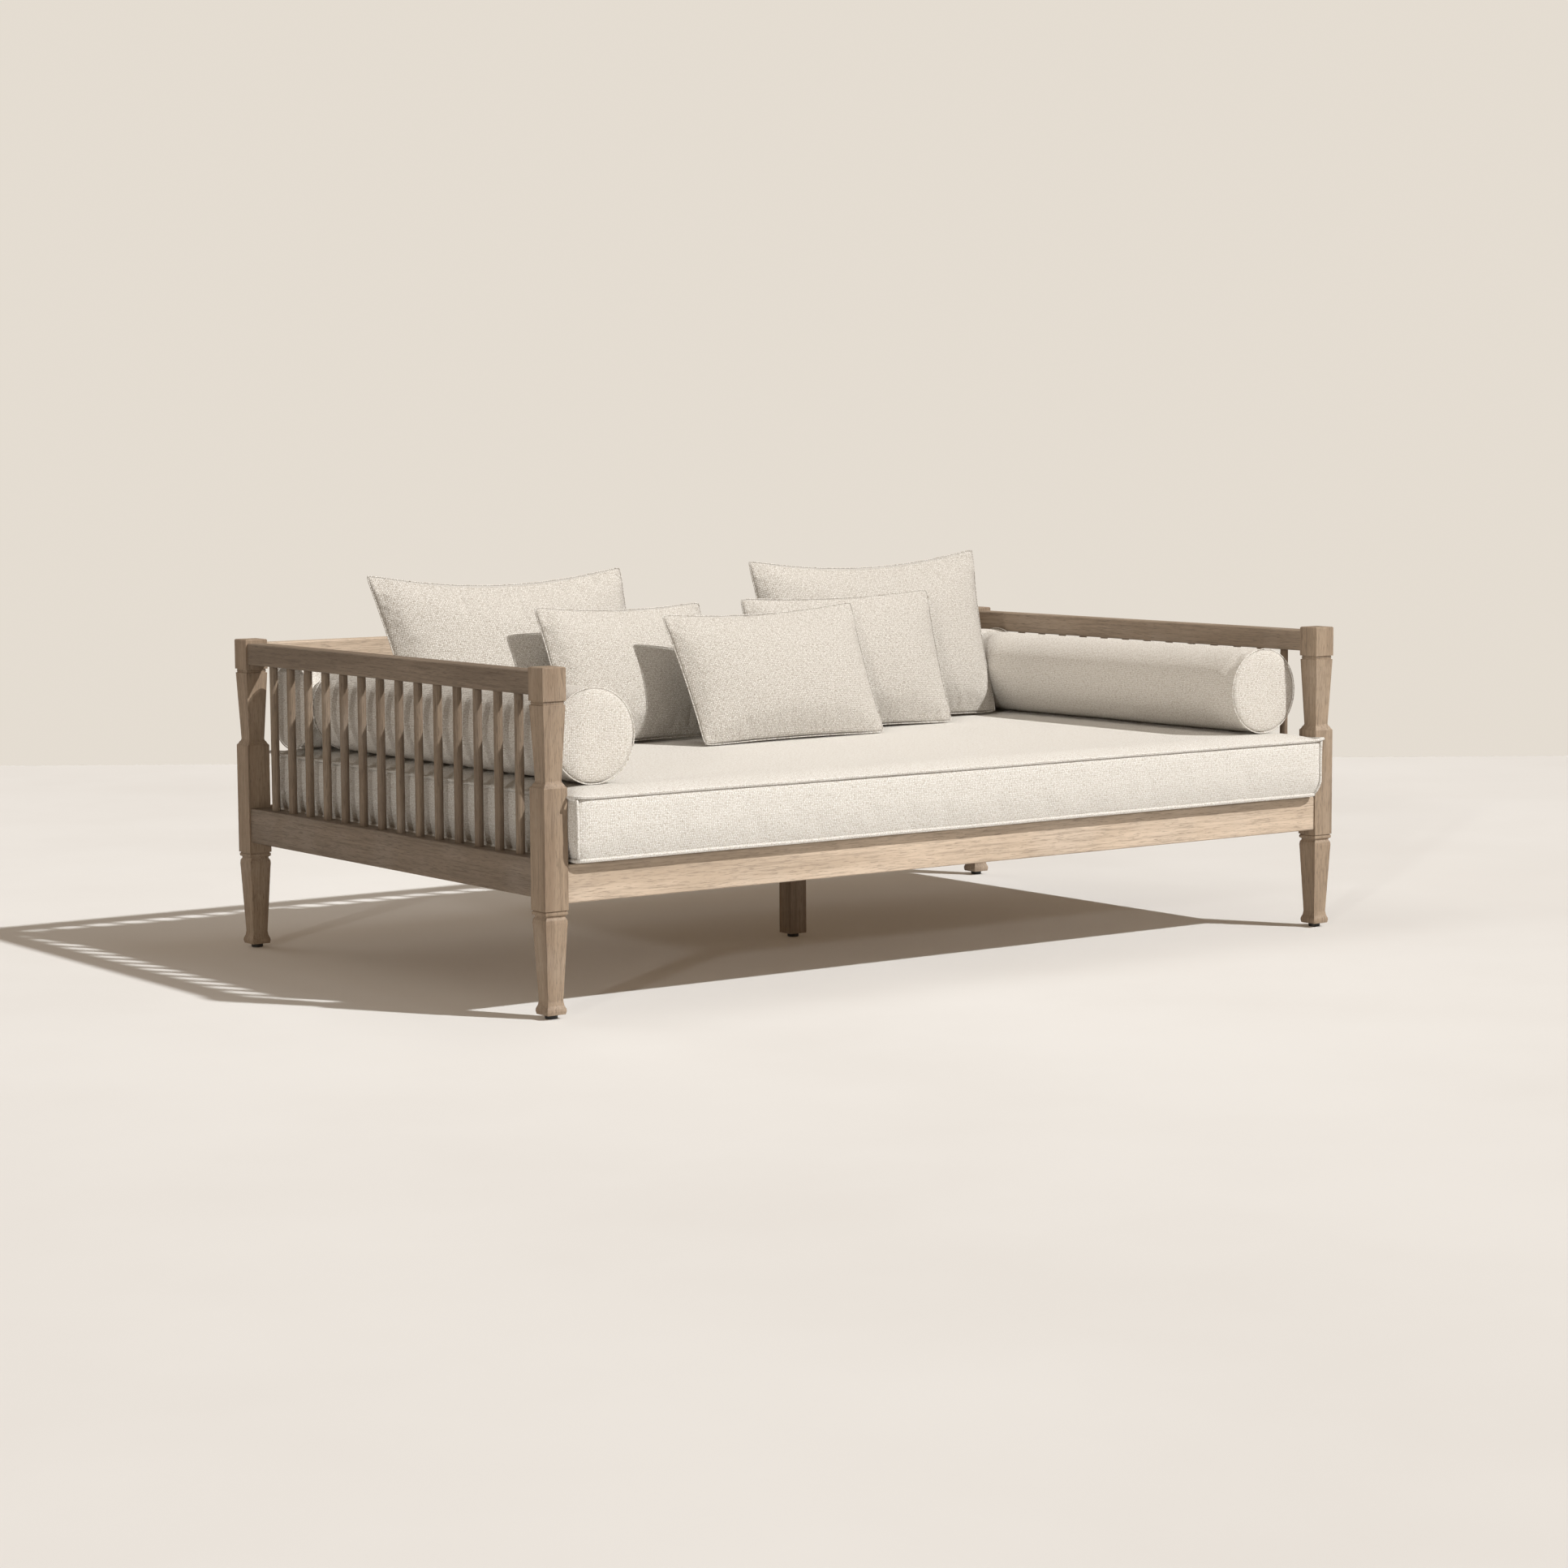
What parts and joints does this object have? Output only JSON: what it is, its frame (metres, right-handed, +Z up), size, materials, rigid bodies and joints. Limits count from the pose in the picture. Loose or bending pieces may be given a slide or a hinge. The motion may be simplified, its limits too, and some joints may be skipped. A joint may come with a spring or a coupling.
{
  "type": "daybed",
  "caption": "Teak-framed daybed with turned tapered posts, spindle ends and back, slatted deck, welted mattress, bolsters and loose pillows.",
  "frame": {"origin": "middle of the footprint, on the floor, at the face of the centre leg's glide", "axes": "+X along the length, +Y from the open front to the back, +Z up"},
  "size_m": [2.2, 1.358, 0.8798],
  "materials": {
    "teak": "weathered, open grain, brushed matte",
    "slat_wood": "sanded, unfinished, on woven straps",
    "glide_plastic": "moulded, fine grain",
    "mattress_fabric": "chunky plain weave, welted seams",
    "bolster_fabric": "chunky plain weave",
    "pillow_fabric": "chunky plain weave, knife-edge seams"
  },
  "bodies": {
    "frame": {"post_front_left": "teak", "post_front_right": "teak", "post_back_left": "teak", "post_back_right": "teak", "centre_leg": "teak", "bottom_rail_front": "teak", "bottom_rail_back": "teak", "bottom_rail_left": "teak", "bottom_rail_right": "teak", "top_rail_left": "teak", "top_rail_right": "teak", "top_rail_back": "teak", "back_spindle_panel": "teak", "centre_beam": "teak", "ledger_cleat_front": "teak", "ledger_cleat_back": "teak", "slat_deck": "slat_wood", "spindle_left_01": "teak", "spindle_left_02": "teak", "spindle_left_03": "teak", "spindle_left_04": "teak", "spindle_left_05": "teak", "spindle_left_06": "teak", "spindle_left_07": "teak", "spindle_left_08": "teak", "spindle_left_09": "teak", "spindle_left_10": "teak", "spindle_left_11": "teak", "spindle_left_12": "teak", "spindle_left_13": "teak", "spindle_left_14": "teak", "spindle_right_01": "teak", "spindle_right_02": "teak", "spindle_right_03": "teak", "spindle_right_04": "teak", "spindle_right_05": "teak", "spindle_right_06": "teak", "spindle_right_07": "teak", "spindle_right_08": "teak", "spindle_right_09": "teak", "spindle_right_10": "teak", "spindle_right_11": "teak", "spindle_right_12": "teak", "spindle_right_13": "teak", "spindle_right_14": "teak", "glide_front_left": "glide_plastic", "glide_front_right": "glide_plastic", "glide_back_left": "glide_plastic", "glide_back_right": "glide_plastic", "glide_centre": "glide_plastic"},
    "mattress": {"mattress": "mattress_fabric"},
    "bolster_left": {"bolster_left": "bolster_fabric"},
    "bolster_right": {"bolster_right": "bolster_fabric"},
    "bolster_back": {"bolster_back": "bolster_fabric"},
    "pillow_large_left": {"pillow_large_left": "pillow_fabric"},
    "pillow_large_right": {"pillow_large_right": "pillow_fabric"},
    "lumbar_left": {"lumbar_left": "pillow_fabric"},
    "lumbar_right": {"lumbar_right": "pillow_fabric"},
    "lumbar_centre": {"lumbar_centre": "pillow_fabric"}
  },
  "joints": [
    {"name": "mattress_lift", "type": "slide", "parent": "frame", "child": "mattress", "axis": [0, 0, 1], "range_m": [0, 0.45]},
    {"name": "bolster_left_pull", "type": "slide", "parent": "mattress", "child": "bolster_left", "axis": [0, -1, 0], "range_m": [0, 0.4]},
    {"name": "bolster_right_pull", "type": "slide", "parent": "mattress", "child": "bolster_right", "axis": [0, -1, 0], "range_m": [0, 0.4]},
    {"name": "bolster_back_lift", "type": "slide", "parent": "mattress", "child": "bolster_back", "axis": [0, 0, 1], "range_m": [0, 0.3]},
    {"name": "pillow_large_left_lift", "type": "slide", "parent": "bolster_back", "child": "pillow_large_left", "axis": [0, -0.5, 0.866], "range_m": [0, 0.3]},
    {"name": "pillow_large_right_lift", "type": "slide", "parent": "pillow_large_left", "child": "pillow_large_right", "axis": [0, -0.5, 0.866], "range_m": [0, 0.3]},
    {"name": "lumbar_left_lift", "type": "slide", "parent": "pillow_large_right", "child": "lumbar_left", "axis": [0, -0.5, 0.866], "range_m": [0, 0.3]},
    {"name": "lumbar_right_lift", "type": "slide", "parent": "lumbar_left", "child": "lumbar_right", "axis": [0, -0.5, 0.866], "range_m": [0, 0.3]},
    {"name": "lumbar_centre_lift", "type": "slide", "parent": "lumbar_right", "child": "lumbar_centre", "axis": [0, -0.5, 0.866], "range_m": [0, 0.3]}
  ]
}
